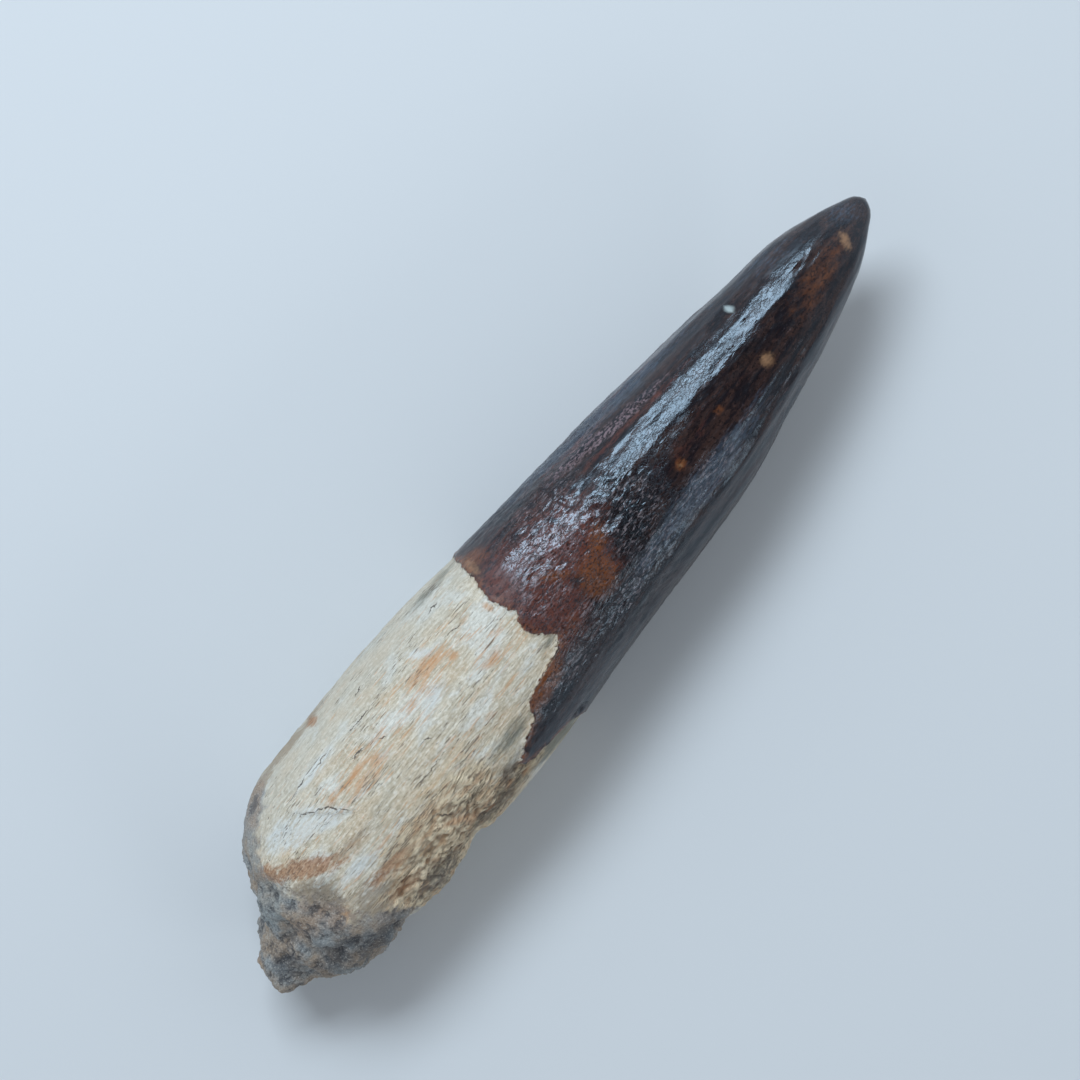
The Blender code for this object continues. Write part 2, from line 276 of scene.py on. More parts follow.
# Coloured marks on the upper side, each an ellipse as it is seen from above: distance from the
# broken end, place to the left, half length, half width, tilt in degrees and strength.
MARKS = {
    "orange": (
        (18.8, 3.1, 2.9, 0.32, -3, 0.9),
        (19.6, 1.8, 2.4, 0.6, 0, 0.6),
        (22.1, 2.5, 0.9, 0.5, 0, 0.75),
        (24.0, 3.3, 0.8, 0.3, 0, 0.55),
        (27.9, 3.0, 1.0, 0.45, 0, 0.7),
        (31.6, 4.2, 2.2, 0.7, -5, 0.85),
        (34.0, 3.0, 0.55, 0.5, 0, 0.95),
        (36.0, 0.0, 1.3, 0.5, 0, 0.95),
        (39.4, 3.3, 0.35, 0.7, 0, 0.9),
        (37.0, 4.3, 0.7, 0.3, 0, 0.6),
        (31.8, -3.1, 0.8, 0.35, 0, 0.6),
        (33.0, -0.9, 1.8, 0.35, 0, 0.5),
        (12.0, 8.3, 0.7, 0.4, 20, 0.7),
        (6.4, -2.4, 2.4, 1.5, -20, 0.7),
        (8.6, -4.4, 1.5, 0.8, 10, 0.8),
        (20.5, -4.4, 2.8, 0.5, 3, 0.6),
        (22.4, -7.0, 1.8, 0.35, -35, 0.8),
        (13.6, -1.0, 3.0, 0.7, -12, 0.5),
        (23.4, -7.9, 0.8, 0.25, -10, 0.9),
        (25.6, -8.7, 0.9, 0.20, 5, 0.9),
        (28.2, -8.5, 0.9, 0.18, 10, 0.9),
        (30.0, -8.9, 0.8, 0.18, 0, 0.8),
    ),
    "rust": (
        (10.2, 1.2, 3.4, 0.85, -38, 1.1),
        (7.9, 3.1, 0.8, 1.2, 0, 1.0),
        (11.6, 0.4, 1.4, 0.5, -30, 1.0),
        (15.6, -4.9, 2.8, 0.6, -6, 0.9),
        (14.6, -7.2, 1.8, 0.6, -10, 0.9),
        (21.1, 9.2, 0.6, 0.42, 0, 0.9),
    ),
    "warm": (
        (21.0, 2.6, 7.0, 1.8, 0, 1.0),
        (31.0, 3.6, 6.0, 1.8, 0, 1.0),
        (37.0, 0.6, 4.0, 2.0, 0, 0.8),
        (30.0, -3.0, 6.0, 1.2, 0, 0.6),
        (17.0, -3.8, 4.5, 1.4, 0, 1.0),
    ),
    "brown": (
        (8.8, -2.2, 2.0, 3.2, 0, 1.0),
        (12.2, -6.0, 2.6, 2.0, 0, 1.0),
        (14.5, -0.7, 3.5, 0.7, -8, 0.7),
        (17.0, -4.4, 3.5, 0.8, 0, 0.7),
        (9.2, 6.3, 0.8, 0.9, 40, 0.7),
        (13.5, 9.0, 3.0, 0.40, 12, 1.0),
        (18.5, 9.45, 4.5, 0.30, 1, 1.1),
        (10.8, 7.9, 1.8, 0.6, 36, 0.9),
    ),
    "pale": (
        (12.6, 4.0, 3.0, 1.3, -18, 1.2),
        (15.0, 2.4, 2.2, 0.8, -22, 1.1),
        (10.4, 4.6, 1.3, 1.2, 0, 0.8),
        (13.4, -2.7, 2.8, 0.8, -8, 0.8),
        (10.6, -0.9, 1.6, 0.5, -15, 0.6),
        (18.0, 6.2, 3.2, 0.7, 0, 0.8),
        (32.2, 5.4, 1.4, 0.5, -38, 0.9),
        (30.0, 1.9, 1.8, 0.7, 0, 0.7),
        (27.0, -1.5, 1.2, 0.6, 0, 0.5),
        (37.5, -2.8, 1.6, 0.6, 0, 0.6),
        (35.6, -1.4, 1.4, 0.4, 0, 0.6),
        (23.0, 2.0, 1.0, 0.6, -10, 0.6),
    ),
    "grey": (
        (31.5, -5.8, 3.0, 0.7, 4, 0.8),
        (34.0, -8.9, 4.0, 0.6, 0, 1.8),
        (37.5, 8.4, 3.5, 0.4, -2, 0.7),
        (40.6, -3.0, 0.9, 0.4, 0, 0.8),
        (9.4, -1.6, 2.0, 1.6, 0, 0.7),
    ),
    "ash": (
        (8.6, 5.8, 2.2, 0.9, 45, 0.7),
        (5.2, 1.6, 2.6, 1.6, 35, 0.9),
        (10.5, -6.2, 2.0, 0.8, 0, 0.5),
    ),
    # Dark marks: those at the broken end's apex and along the lower right edge are painted shade; the
    # small ones on the crust's top and near the left rim are dark stains.
    "dark": (
        (1.2, -3.2, 2.0, 2.0, 0, 1.0),
        (5.6, -6.4, 2.6, 1.2, -25, 0.8),
        (9.5, -8.4, 3.2, 1.0, 0, 0.9),
        (17.6, -8.9, 3.0, 0.8, 0, 0.8),
        (26.0, -8.9, 4.0, 0.7, 0, 0.9),
        (29.2, -7.7, 1.8, 0.6, 15, 1.0),
        (7.6, 2.0, 0.4, 1.2, 10, 0.6),
        (11.8, 8.35, 1.1, 0.30, 22, 1.0),
        (19.0, 9.5, 0.9, 0.22, 0, 0.8),
    ),
    "amber": (
        (48.0, -2.4, 2.0, 1.7, 30, 1.0),
        (50.6, -0.5, 1.7, 0.8, 25, 0.9),
        (45.4, 0.4, 1.8, 0.5, -42, 0.8),
        (42.0, 6.9, 1.4, 0.7, -20, 0.8),
        (36.8, -5.1, 2.8, 0.9, 4, 1.3),
        (43.0, -3.6, 1.5, 0.8, 20, 0.5),
        (60.7, -2.1, 0.6, 0.5, 0, 0.9),
        (54.6, -2.4, 0.8, 0.5, 30, 0.5),
        (66.8, -1.6, 0.45, 0.4, 0, 0.8),
        (82.0, -1.0, 4.6, 1.3, 8, 0.52),
    ),
    "tan": (
        (73.1, -2.1, 0.62, 0.60, 0, 0.85),
        (86.1, -0.75, 0.90, 0.42, 62, 0.9),
        (60.7, -2.1, 0.35, 0.3, 0, 0.6),
        (41.3, 6.6, 0.6, 1.1, 0, 0.62),
    ),
    "red": (
        (43.0, 0.8, 4.2, 5.0, 0, 1.1),
        (48.0, 1.0, 5.0, 4.4, -10, 0.95),
        (62.0, -1.0, 7.0, 1.2, 0, 0.3),
        (61.0, 3.75, 8.0, 0.30, -5, 0.6),
        (56.0, 6.2, 5.0, 0.30, -6, 0.6),
        (63.0, 6.3, 9.0, 0.35, -6, 0.4),
    ),
    # Painted sheen: pale pink streaks painted in the red strips near the crown's top and at its base
    # where they would shine, a painted highlight.
    "painted_pink_sheen": (
        (59.5, 4.7, 6.0, 0.45, -7, 0.9),
        (55.2, 5.5, 3.2, 0.50, -5, 0.9),
        (47.0, 2.2, 3.0, 0.9, -25, 0.6),
    ),
    # Painted reflection: bluish-grey bands painted where the enamel's flanks, upper edge and point
    # would reflect the soft light and the surroundings; they also make the enamel a little rougher.
    "painted_reflection": (
        (61.0, -4.7, 7.5, 1.0, 2, 1.0),
        (69.0, -3.7, 3.5, 0.5, 4, 0.5),
        (52.5, -5.0, 3.5, 0.7, 12, 0.7),
        (58.0, 6.6, 12.0, 0.75, -6, 0.9),
        (79.5, 3.6, 4.0, 0.8, -12, 0.5),
        (88.0, 0.9, 1.6, 1.2, -30, 0.5),
    ),
    "black": (
        (53.6, -1.6, 2.4, 2.2, 40, 1.0),
        (51.3, -2.8, 1.1, 0.9, 0, 0.8),
        (56.3, 1.6, 1.4, 0.7, -20, 0.9),
        (49.2, 3.6, 0.9, 0.35, -55, 0.8),
        (46.5, -1.5, 0.8, 0.5, -50, 0.7),
        (38.7, -9.0, 0.7, 0.25, 0, 1.3),
        (67.0, 2.4, 0.9, 0.35, -70, 0.6),
        (72.0, -0.4, 3.0, 0.8, 0, 0.6),
    ),
    "chip": ((74.5, 3.25, 0.55, 0.34, -62, 0.95),),
    "matt": (
        (41.4, 3.4, 1.3, 2.6, 0, 3.0),
        (38.0, -5.8, 4.0, 1.8, 8, 0.5),
        (43.5, -0.5, 2.6, 3.0, 0, 0.5),
        (44.0, 7.6, 4.0, 1.2, -4, 0.8),
        (64.0, 4.7, 9.0, 0.8, -4, 1.0),
        (78.5, 3.4, 5.5, 0.7, -12, 0.9),
        (56.0, -7.6, 18.0, 1.0, 3, 0.8),
    ),
    # Painted glints: pale streaks painted on the enamel where its wrinkles would catch the light, a
    # painted highlight.
    "painted_glint": (
        (51.0, -5.2, 6.0, 0.8, 10, 1.1),
        (44.0, -3.8, 4.5, 1.2, 0, 0.8),
        (40.0, -6.0, 3.5, 1.0, 4, 0.8),
        (61.0, -4.4, 7.0, 1.1, 2, 0.8),
        (54.2, -0.8, 3.8, 3.0, 20, 1.1),
        (44.5, 0.6, 3.6, 2.6, 0, 0.9),
        (48.4, 4.0, 5.0, 2.2, 0, 1.0),
        (48.6, 1.5, 3.0, 0.9, -32, 0.9),
    ),
}

# Thin dark cracks on the upper side, as such ellipses without a strength.
CRACKS = (
    (14.05, 4.40, 0.42, 0.08, -39),
    (14.60, 3.95, 0.46, 0.10, -40),
    (15.30, 3.55, 0.48, 0.08, -22),
    (15.87, 3.13, 0.36, 0.13, -60),
    (16.20, 2.58, 0.42, 0.12, -58),
    (16.65, 1.80, 0.50, 0.07, -62),
    (16.0, 6.35, 0.8, 0.08, 4),
    (18.6, 6.25, 1.8, 0.05, 3),
    (23.8, 5.85, 1.9, 0.06, 0),
    (21.6, 4.05, 1.2, 0.06, -3),
    (24.0, 3.2, 0.4, 0.07, -40),
    (26.6, 0.0, 0.5, 0.06, -40),
    (36.2, 7.2, 0.8, 0.07, 0),
    (25.8, 7.6, 0.8, 0.06, 8),
    (35.8, 4.4, 1.2, 0.05, -8),
    (24.5, -2.1, 2.0, 0.05, 2),
    (22.2, -5.9, 1.0, 0.09, -50),
)

# The eroded part of the root, as ellipses like the coloured marks.
ERODED = (
    (21.5, -6.4, 7.0, 2.9, 3, 1.0),
    (15.5, -7.6, 3.2, 2.0, 0, 1.0),
    (28.0, -8.4, 4.2, 1.0, 0, 1.1),
)

# Where the enamel is most wrinkled, as such ellipses.
WRINKLED = (
    (48.6, 4.4, 5.6, 2.8, 0, 1.05),
    (53.0, 7.2, 12.0, 1.4, -5, 0.8),
    (48.5, 1.5, 3.4, 1.4, -30, 1.4),
    (45.0, -1.0, 5.5, 5.4, 0, 1.1),
    (53.8, -0.8, 4.6, 3.6, 0, 1.4),
    (60.0, 1.0, 7.0, 3.0, 0, 0.6),
    (68.0, 2.2, 8.0, 1.8, -3, 0.6),
    (77.0, 1.6, 6.0, 1.3, -2, 0.55),
    (48.0, -5.6, 9.0, 2.6, 0, 1.0),
    (60.0, -4.4, 7.0, 1.6, 2, 0.8),
    (38.0, -6.0, 4.0, 2.0, 0, 0.9),
)
LEAST_WRINKLED = 0.30
MOST_WRINKLED = 1.4
WRINKLES_UNDER = (62.0, 44.0)  # the underside's fade between these
WRINKLES_END = (89.0, 84.0)

# Broad soft swellings of the enamel near its lower edge, as such ellipses, with their height in
# place of the strength.
SWELLINGS = (
    (46.0, 5.7, 2.8, 1.5, 0, 0.30),
    (51.2, 5.9, 2.6, 1.5, -5, 0.28),
)

# How the marks show on the crust: name, size of their broken edge, strength and colour.
CRUST_MARKS = (
    ("brown", 0.9, 0.60, (158, 140, 124)),
    ("ash", 0.9, 0.60, (152, 160, 160)),
    ("orange", 0.8, 0.40, (156, 126, 102)),
    ("rust", 0.8, 0.60, (156, 114, 80)),
    # The dark marks carry painted shade at the apex and the lower edge onto the crust.
    ("dark", 0.8, 0.65, (76, 78, 82)),
)

ROOT_ROUGHNESS = 0.76
CRUST_ROUGHNESS = 0.94
ENAMEL_ROUGHNESS = (0.13, 0.27)
ENAMEL_CRACK_ROUGHNESS = 0.75
PAINTED_REFLECTION_ROUGHNESS = 0.08  # what the marks of painted reflection add to the roughness
MATT_ROUGHNESS = 0.20
COAT_WEIGHT = 0.06
COAT_ROUGHNESS = 0.14
SPECULAR_LEVEL = 0.58
SPECULAR_TINT = (0.64, 0.83, 1.0)

# Heights of the finest relief, which is only in the material.
FINE_FIBRES = 0.10
FINE_PITS = 0.10
FINE_SAND = 0.28
FINE_FOLDS = 0.075
FINE_SCRATCHES = 0.010
FINE_CRACKS = 0.03

FLOOR_SIZE = 6.0  # metres
FLOOR_COLOUR = (208, 212, 216)
FLOOR_ROUGHNESS = 0.6

# The photograph's frame: straight down, with the tooth's point to the upper right.
CAMERA_TURN = math.radians(-50.77)
CAMERA_AIM = (2.2, 3.5, 8.5)
CAMERA_DISTANCE = 280.0
FRAME_WIDTH = 99.0
SENSOR_WIDTH = 36.0
CLIP_START = 10.0

# Soft lights: name, direction in the picture (right, up, towards the camera), then distance,
# width and height in metres, power and colour.
LIGHTS = (
    ("window", (-0.36, 0.67, 1.0), 0.60, 0.38, 0.19, 2.9, (0.80, 0.91, 1.0)),
    ("fill", (1.80, -1.23, 1.0), 0.70, 0.32, 0.14, 0.55, (0.90, 0.96, 1.0)),
)

# The surroundings: dim overhead, where the camera is, brighter on the window's side, and
# brightest beyond the tooth's two ends.
WORLD_COLOUR = (0.86, 0.93, 1.0)
FAR_SIDE_STRENGTH = 0.28
WINDOW_SIDE_STRENGTH = 0.50
SIDE_REACH = (-0.7, 0.6)
ENDS_STRENGTH = 0.55
ENDS_REACH = (0.32, 0.75)
OVERHEAD_SHARE = 0.12
OVERHEAD_HEIGHTS = (0.62, 0.92)


def smoothstep(low, high, value):
    """0 below low, 1 above high, and a smooth rise between them."""
    share = np.clip((value - low) / (high - low), 0.0, 1.0)
    return share * share * (3.0 - 2.0 * share)


def bump(distance, half_width):
    """A soft bump, 1 in the middle and 0 beyond the half width."""
    return smoothstep(half_width, 0.0, distance)


def monotone_slopes(knots, values):
    """Slopes at the knots for a cubic curve that never overshoots its points."""
    steps = np.diff(knots)
    rises = np.diff(values) / steps
    slopes = np.zeros(len(knots))
    slopes[0] = rises[0]
    slopes[-1] = rises[-1]
    for i in range(1, len(knots) - 1):
        if rises[i - 1] * rises[i] > 0.0:
            before = 2.0 * steps[i] + steps[i - 1]
            after = steps[i] + 2.0 * steps[i - 1]
            slopes[i] = (before + after) / (before / rises[i - 1] + after / rises[i])
    return slopes


def monotone_curve(knots, values, at):
    """The cubic curve through the points (knots, values), read at the places in at."""
    slopes = monotone_slopes(knots, values)
    i = np.clip(np.searchsorted(knots, at, side="right") - 1, 0, len(knots) - 2)
    step = knots[i + 1] - knots[i]
    t = (at - knots[i]) / step
    return (
        values[i] * (1.0 + 2.0 * t) * (1.0 - t) ** 2
        + slopes[i] * step * t * (1.0 - t) ** 2
        + values[i + 1] * t * t * (3.0 - 2.0 * t)
        + slopes[i + 1] * step * t * t * (t - 1.0)
    )


def section_knots():
    """The way along the outline to each section, which spaces the rings evenly over both ends."""
    rows = np.array(SECTIONS)
    half_width = (rows[:, 1] - rows[:, 2]) / 2.0
    return np.concatenate([[0.0], np.cumsum(np.hypot(np.diff(rows[:, 0]), np.diff(half_width)))])


def way_at(along):
    """The way along the outline at this distance from the broken end."""
    knots = section_knots()
    ways = np.linspace(0.0, knots[-1], 2000)
    return np.interp(along, monotone_curve(knots, np.array(SECTIONS)[:, 0], ways), ways)


def body_point(way, degrees):
    """Points of the smooth body, in millimetres, at this way along the outline and angle."""
    rows = np.array(SECTIONS)
    knots = section_knots()
    along, left, right, top, under = (monotone_curve(knots, rows[:, k], way) for k in range(5))
    cosine = np.cos(np.radians(degrees))
    sine = np.sin(np.radians(degrees))
    across = np.sign(cosine) * np.abs(cosine) ** (2.0 / ROUNDNESS)
    upward = np.sign(sine) * np.abs(sine) ** (2.0 / ROUNDNESS)
    return np.stack(
        [
            along,
            (left + right) / 2.0 + (left - right) / 2.0 * across,
            (top + under) / 2.0 + (top - under) / 2.0 * upward,
        ],
        axis=-1,
    )


def body_normal(way, degrees):
    """Outward normals of the smooth body, from the directions along it and round it."""
    last = section_knots()[-1]
    safe = np.clip(way, 10.0 * STEP_ALONG, last - 10.0 * STEP_ALONG)
    forward = body_point(safe + STEP_ALONG, degrees) - body_point(safe - STEP_ALONG, degrees)
    around = body_point(safe, degrees + STEP_ROUND) - body_point(safe, degrees - STEP_ROUND)
    normal = np.cross(around, forward)
    return normal / np.linalg.norm(normal, axis=-1, keepdims=True)


def angle_between(degrees, other):
    """The unsigned angle from one direction round the tooth to another."""
    return np.abs((degrees - other + 180.0) % 360.0 - 180.0)


def edge_place(edge, degrees):
    """How far from the broken end this edge runs, at this angle."""
    angles, places = np.array(edge).T
    return np.interp(degrees % 360.0, angles, places, period=360.0)


def smooth_noise(points, size, offset):
    """Noise from -1 to 1 with lumps of this size, read at each point."""
    flat = points.reshape(-1, 3) / np.array(size) + np.array(offset)
    values = [noise.noise(p) for p in flat.tolist()]
    return np.array(values).reshape(points.shape[:-1])


def creases(points, size, offset):
    """Noise from 0 to 1 that peaks along thin winding lines."""
    return np.clip(1.0 - 2.2 * np.abs(smooth_noise(points, size, offset)), 0.0, 1.0)


def grains(points, size, offset):
    """Round grains packed side by side: 1 in the middle of each and 0 in the gaps."""
    flat = points.reshape(-1, 3) / np.array(size) + np.array(offset)
    nearest = np.array([noise.voronoi(p)[0][:2] for p in flat.tolist()])
    gap = smoothstep(0.0, 0.5, nearest[:, 1] - nearest[:, 0])
    return gap.reshape(points.shape[:-1])


def swayed(points, reach, size):
    """The points moved about by slow noise, so that what is read there winds."""
    offsets = ((2.1, 9.4, 5.5), (7.7, 0.3, 1.2), (4.8, 6.6, 8.9))
    shift = [smooth_noise(points, size, offset) for offset in offsets]
    return points + reach * np.stack(shift, axis=-1)


def crown_relief(past_enamel, along, degrees):
    """Height of the enamel, its ridges and its cutting edges over the smooth body."""
    height = ENAMEL_THICKNESS * smoothstep(-ENAMEL_HALF_SLOPE, ENAMEL_HALF_SLOPE, past_enamel)
    crown = smoothstep(RIDGE_START, RIDGE_START + RIDGE_RISE, along)
    crown = crown * smoothstep(RIDGE_END, RIDGE_END - RIDGE_FADE, along)
    untwisted = degrees - RIDGE_TWIST * smoothstep(TWIST_START, TWIST_END, along)
    for angle, ridge_height, half_angle in RIDGES:
        height = height + ridge_height * crown * bump(angle_between(untwisted, angle), half_angle)
    for carina in CARINA_ANGLES:
        share = bump(angle_between(degrees, carina), CARINA_HALF_ANGLE)
        height = height + CARINA_HEIGHT * crown * share
    return height


def crust_share(along, degrees):
    """1 on the crust's drop, 0 on the root's skin."""
    return smoothstep(CRUST_FADE, -CRUST_FADE, along - edge_place(CRUST_EDGE, degrees))


def crust_relief(points, along, degrees):
    """The drop from the root's skin to the crust on the broken end, and the crust's lumps."""
    lumps = smooth_noise(points, LUMP_SIZE, (3.7, 1.3, 8.1))
    lumps = lumps + 0.5 * smooth_noise(points, LUMP_SIZE / 2.1, (6.2, 4.4, 0.9))
    at_tip = smoothstep(0.0, CRUST_TIP, along)
    return crust_share(along, degrees) * (LUMP_HEIGHT * lumps - CRUST_DROP * at_tip)


def strip_share(along, degrees):
    """1 in the middle of the eroded strip, 0 outside it."""
    strip = smoothstep(STRIP_START, STRIP_START + STRIP_START_FADE, along)
    strip = strip * smoothstep(STRIP_END, STRIP_END - STRIP_END_FADE, along)
    aside = angle_between(degrees, STRIP_ANGLE)
    return strip * smoothstep(STRIP_HALF_ANGLE, STRIP_CORE_ANGLE, aside)


def strip_relief(points, along, degrees):
    """The eroded strip: uneven, and drawn out along the tooth."""
    pits = 0.5 + smooth_noise(points, STRIP_LUMP_SIZE, (1.9, 7.5, 2.6))
    return -STRIP_DEPTH * strip_share(along, degrees) * pits


def lump_relief(points):
    """The single lumps and dents."""
    height = np.zeros(points.shape[:-1])
    for along, degrees, rise, radius in LUMPS:
        middle = body_point(way_at(along), degrees)
        distance = np.linalg.norm(points - middle, axis=-1)
        height = height + rise * bump(distance, radius)
    return height


def scar_relief(points, along):
    """Depth of the flake scar: sharp along its edge, and fading towards the broken end."""
    (high_along, high_left), (low_along, low_left) = SCAR_EDGE_HIGH, SCAR_EDGE_LOW
    share = (points[..., 1] - low_left) / (high_left - low_left)
    edge = low_along + (high_along - low_along) * share
    edge = edge + SCAR_EDGE_UNEVEN * smooth_noise(points, 0.9, (5.5, 6.1, 2.8))
    inside = smoothstep(0.0, SCAR_EDGE_WIDTH, edge - along)
    inside = inside * smoothstep(SCAR_START, SCAR_START + SCAR_START_FADE, along)
    across = smoothstep(-0.4, 0.2, share) * smoothstep(1.3, 1.0, share)
    on_top = smoothstep(*SCAR_HEIGHTS, points[..., 2])
    return -SCAR_DEPTH * inside * across * on_top


def fibre_relief(points, root):
    """The root's fibres, and the thin flakes that have come away between them."""
    fibres = smooth_noise(points, (2.8, 0.40, 0.40), (1.1, 2.2, 3.3))
    fibres = fibres + 0.7 * smooth_noise(points, (1.4, 0.34, 0.34), (5.1, 0.2, 7.3))
    flakes = smooth_noise(swayed(points, 0.6, 1.8), (3.4, 0.95, 0.95), (8.4, 3.9, 0.7))
    return root * (FIBRE_HEIGHT * fibres + FLAKE_HEIGHT * smoothstep(-0.02, 0.12, flakes))


def turned(forward, sideways, degrees):
    """Two coordinates as they are after a turn by this angle."""
    cosine = math.cos(math.radians(degrees))
    sine = math.sin(math.radians(degrees))
    return forward * cosine + sideways * sine, sideways * cosine - forward * sine


def eroded_relief(points, strip):
    """Slanting grooves between gnarled strands in the eroded strip."""
    forward, sideways, upward = np.moveaxis(swayed(points, 0.9, 2.2), -1, 0)
    forward, sideways = turned(forward, sideways, STRAND_SLANT)
    winding = np.stack([forward, sideways, upward], axis=-1)
    grooves = creases(winding, (2.6, 0.75, 0.75), (0.6, 4.2, 9.9))
    small = creases(winding, (1.3, 0.42, 0.42), (7.6, 2.2, 0.9))
    rough = smooth_noise(points, 0.50, (3.0, 8.0, 1.0))
    rough = rough * (1.0 + smoothstep(-5.5, -8.0, points[..., 1]))
    height = STRAND_HEIGHT - GROOVE_DEPTH * grooves - SMALL_GROOVE_DEPTH * small
    return strip * (height + STRAND_ROUGHNESS * rough)


def sand_relief(points, crust):
    """The sandstone crust's smaller lumps and its grains."""
    rough = smooth_noise(points, 1.15, (2.0, 7.1, 4.4))
    rough = rough + 0.6 * smooth_noise(points, 0.6, (9.0, 1.7, 3.1))
    sand = grains(points, GRAIN_SIZE, (1.5, 2.5, 3.5)) - 0.5
    return crust * (SAND_HEIGHT * rough + GRAIN_HEIGHT * sand)


def wrinkle_relief(points, crown, wrinkled):
    """The enamel's winding wrinkles, strongest near its lower edge, and its fine long ribs."""
    winding = swayed(points, 1.8, 3.0)
    folds = creases(winding, (2.2, 0.80, 0.80), (6.1, 3.2, 2.0))
    knots = smooth_noise(points, (1.1, 0.55, 0.55), (1.4, 9.2, 6.5))
    ribs = smooth_noise(points, (9.0, 0.70, 0.70), (0.9, 5.8, 7.2))
    wrinkles = wrinkled * (FOLD_HEIGHT * folds + KNOT_HEIGHT * knots)
    return crown * (wrinkles + RIB_HEIGHT * ribs)


def seen_from_above(points):
    """Where the points appear to lie from the camera's height, beside the place it aims at."""
    aim = np.array([LENGTH / 2.0 + CAMERA_AIM[0], CAMERA_AIM[1]])
    nearness = CAMERA_DISTANCE / (CAMERA_DISTANCE + CAMERA_AIM[2] - points[..., 2])
    return aim + (points[..., :2] - aim) * nearness[..., None]


def mark_share(points, ellipses):
    """How strongly each point of the upper side lies inside these ellipses."""
    seen = seen_from_above(points)
    share = np.zeros(points.shape[:-1])
    for along, left, half_length, half_width, tilt, strength in ellipses:
        forward, sideways = turned(seen[..., 0] - along, seen[..., 1] - left, tilt)
        reach = np.hypot(forward / half_length, sideways / half_width)
        share = np.maximum(share, strength * smoothstep(*MARK_EDGES, reach))
    return share * smoothstep(*UPPER_HEIGHTS, points[..., 2])


def hidden_marks(points, size, offset):
    """Scattered marks for the underside, which keep clear of the upper side's own marks."""
    under = smoothstep(*UNDER_HEIGHTS, points[..., 2])
    return under * smoothstep(0.22, 0.5, smooth_noise(points, size, offset))


def border_distance(points, edge):
    """The distance from each point to a drawn edge."""
    angles, places = np.array(edge).T
    corners = body_point(way_at(places), angles.astype(float))
    closed = np.concatenate([corners, corners[:1]])
    nearest = np.full(points.shape[:-1], 1e9)
    for start, end in zip(closed, closed[1:]):
        span = end - start
        share = np.clip(((points - start) @ span) / (span @ span), 0.0, 1.0)
        distance = np.linalg.norm(points - start - share[..., None] * span, axis=-1)
        nearest = np.minimum(nearest, distance)
    return nearest


def past_border(points, degrees, edge, uneven):
    """The distance past a drawn edge, below 0 before it, with the edge broken up by noise."""
    past = points[..., 0] - edge_place(edge, degrees)
    distance = np.sign(past) * np.minimum(np.abs(past), border_distance(points, edge))
    broken = 0.6 * smooth_noise(points, 1.3, (4.4, 0.2, 6.8))
    broken = broken + smooth_noise(points, 0.55, (1.2, 8.3, 3.9))
    return distance + uneven * broken


def tooth_surface(way, degrees):
    """Points of the finished surface, and what the material needs to know at each of them."""
    body = body_point(way, degrees)
    along = body[..., 0]
    past_enamel = past_border(body, degrees, ENAMEL_EDGE, ENAMEL_EDGE_UNEVEN)
    past_crust = past_border(body, degrees, CRUST_COLOUR_EDGE, CRUST_EDGE_UNEVEN)
    crown = smoothstep(-0.1, 0.5, past_enamel)
    crust = crust_share(along, degrees)
    strip = strip_share(along, degrees)
    eroded = np.maximum(strip, mark_share(body, ERODED)) * (1.0 - crown)
    root = (1.0 - crown) * (1.0 - crust)
    wrinkled = enamel_wrinkles(body, along)

    height = crown_relief(past_enamel, along, degrees)
    height = height + crust_relief(body, along, degrees)
    height = height + strip_relief(body, along, degrees)
    height = height + lump_relief(body)
    height = height + mark_share(body, SWELLINGS)
    height = height + scar_relief(body, along)
    height = height + SWELL_HEIGHT * smooth_noise(body, SWELL_SIZE, (0.4, 5.2, 3.3))
    fine = fibre_relief(body, root * (1.0 - 0.6 * eroded))
    fine = fine + eroded_relief(body, eroded * (1.0 - crust))
    sandy = np.maximum(crust, SAND_PAST_CRUST * smoothstep(0.8, -0.8, past_crust))
    fine = fine + sand_relief(body, sandy)
    height = height + fine
    height = height + wrinkle_relief(body, crown, wrinkled)

    points = body + height[..., None] * body_normal(way, degrees)
    points[..., 2] = np.maximum(points[..., 2], 0.0)  # the worn flat that it rests on

    facts = {
        "past_enamel": past_enamel,
        "past_crust": past_crust,
        "eroded": eroded,
        "wrinkled": wrinkled,
        "fine": fine,
    }
    facts.update(place_facts(body))
    return points, facts


def enamel_wrinkles(body, along):
    """How wrinkled the enamel is at each point."""
    under = smoothstep(*UNDER_HEIGHTS, body[..., 2]) * smoothstep(*WRINKLES_UNDER, along)
    wrinkled = np.clip(mark_share(body, WRINKLED) + under, LEAST_WRINKLED, MOST_WRINKLED)
    return wrinkled * smoothstep(*WRINKLES_END, along)


def place_facts(body):
    """What the material needs to know of where each point is: its sides, place and marks."""
    seen = seen_from_above(body)
    facts = {
        "left_side": smoothstep(3.0, 9.0, body[..., 1]),
        "upper": smoothstep(6.0, 8.5, body[..., 2]),
        "seen_along": seen[..., 0],
        "seen_left": seen[..., 1],
    }
    for name, ellipses in MARKS.items():
        facts[name] = mark_share(body, ellipses)
    # The painted highlight streaks fade out down the sides.
    facts["painted_glint"] *= smoothstep(*PAINTED_GLINT_HEIGHTS, body[..., 2])
    facts["orange"] += 0.8 * hidden_marks(body, (3.0, 0.9, 0.9), (2.7, 1.9, 6.1))
    facts["pale"] += 0.8 * hidden_marks(body, (4.0, 1.3, 1.3), (8.2, 3.1, 0.4))
    facts["red"] += 0.7 * hidden_marks(body, (6.0, 1.0, 1.0), (3.6, 7.7, 5.2))
    facts["amber"] += 0.6 * hidden_marks(body, (2.5, 1.2, 1.2), (9.1, 0.8, 2.3))
    return facts


